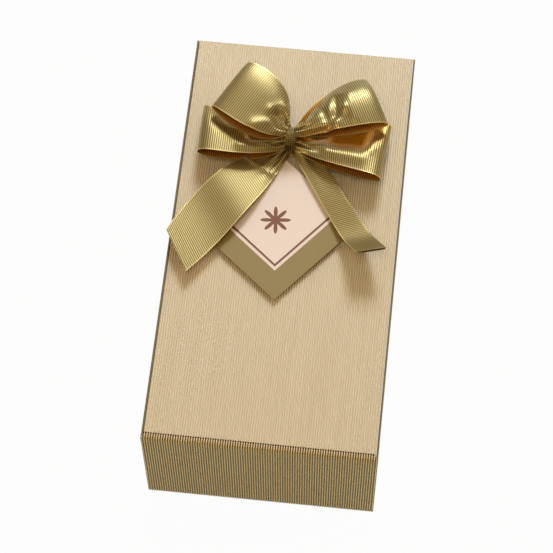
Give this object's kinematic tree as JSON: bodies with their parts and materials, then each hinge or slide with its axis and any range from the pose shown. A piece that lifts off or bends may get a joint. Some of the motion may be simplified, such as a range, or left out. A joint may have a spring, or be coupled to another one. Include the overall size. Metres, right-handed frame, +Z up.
{
  "type": "box of chocolates",
  "caption": "Oblong gold fluted-board gift carton with a hinged tuck-in lid, a ribbon bow and square card tag on the lid, and trays of pralines inside.",
  "frame": {"origin": "middle of the carton's underside", "axes": "+Z up, +Y towards the lid's hinge at the rear short end, +X to the right seen from the front tuck end"},
  "size_m": [0.12, 0.236, 0.0984],
  "materials": {
    "gold_board": "gold satin fluted board",
    "gold_ribbon": "woven gold metallic ribbon",
    "tag_card": "coated card",
    "foam_pad": "white foam",
    "tray_plastic": "gold-brown formed sheet",
    "layer_paper": "glassine",
    "milk_chocolate": "tempered milk chocolate",
    "white_chocolate": "tempered white chocolate",
    "dark_chocolate": "tempered dark chocolate"
  },
  "bodies": {
    "carton": {"base_floor": "gold_board", "front_wall": "gold_board", "rear_wall": "gold_board", "left_wall": "gold_board", "right_wall": "gold_board", "lower_tray": "tray_plastic", "upper_tray": "tray_plastic", "layer_sheet": "layer_paper", "lower_milk_shell_11": "milk_chocolate", "lower_milk_shell_23": "milk_chocolate", "lower_milk_shell_32": "milk_chocolate", "lower_milk_shell_41": "milk_chocolate", "lower_milk_shell_53": "milk_chocolate", "lower_milk_shell_62": "milk_chocolate", "lower_white_cushion_12": "white_chocolate", "lower_white_cushion_21": "white_chocolate", "lower_white_cushion_33": "white_chocolate", "lower_white_cushion_42": "white_chocolate", "lower_white_cushion_51": "white_chocolate", "lower_white_cushion_63": "white_chocolate", "lower_dark_dome_13": "dark_chocolate", "lower_dark_dome_22": "dark_chocolate", "lower_dark_dome_31": "dark_chocolate", "lower_dark_dome_43": "dark_chocolate", "lower_dark_dome_52": "dark_chocolate", "lower_dark_dome_61": "dark_chocolate", "upper_milk_shell_11": "milk_chocolate", "upper_milk_shell_23": "milk_chocolate", "upper_milk_shell_32": "milk_chocolate", "upper_milk_shell_41": "milk_chocolate", "upper_milk_shell_53": "milk_chocolate", "upper_milk_shell_62": "milk_chocolate", "upper_white_cushion_12": "white_chocolate", "upper_white_cushion_21": "white_chocolate", "upper_white_cushion_33": "white_chocolate", "upper_white_cushion_42": "white_chocolate", "upper_white_cushion_51": "white_chocolate", "upper_white_cushion_63": "white_chocolate", "upper_dark_dome_13": "dark_chocolate", "upper_dark_dome_22": "dark_chocolate", "upper_dark_dome_31": "dark_chocolate", "upper_dark_dome_43": "dark_chocolate", "upper_dark_dome_52": "dark_chocolate", "upper_dark_dome_61": "dark_chocolate"},
    "lid": {"lid_panel": "gold_board", "bow_upper_left_loop": "gold_ribbon", "bow_upper_right_loop": "gold_ribbon", "bow_lower_left_loop": "gold_ribbon", "bow_lower_right_loop": "gold_ribbon", "bow_left_tail": "gold_ribbon", "bow_right_tail": "gold_ribbon", "bow_knot": "gold_ribbon", "bow_pad": "foam_pad", "tag_card": "tag_card", "tag_pad": "foam_pad"},
    "tuck": {"tuck_flap": "gold_board"},
    "ear_left": {"left_ear": "gold_board"},
    "ear_right": {"right_ear": "gold_board"}
  },
  "joints": [
    {"name": "lid_hinge", "type": "hinge", "parent": "carton", "child": "lid", "pos_m": [0, 0.11815, 0.073], "axis": [-1, 0, 0], "range_deg": [0, 180]},
    {"name": "tuck_flap_fold", "type": "hinge", "parent": "lid", "child": "tuck", "pos_m": [0, -0.1134, 0.07285], "axis": [-1, 0, 0], "range_deg": [0, 28.8]},
    {"name": "left_ear_fold", "type": "hinge", "parent": "lid", "child": "ear_left", "pos_m": [-0.0576, 0, 0.073], "axis": [0, -1, 0], "range_deg": [0, 12]},
    {"name": "right_ear_fold", "type": "hinge", "parent": "lid", "child": "ear_right", "pos_m": [0.0576, 0, 0.073], "axis": [0, 1, 0], "range_deg": [0, 12]}
  ],
  "couplings": [
    {"joint": "tuck_flap_fold", "follows": "lid_hinge", "ratio": 0.16}
  ]
}
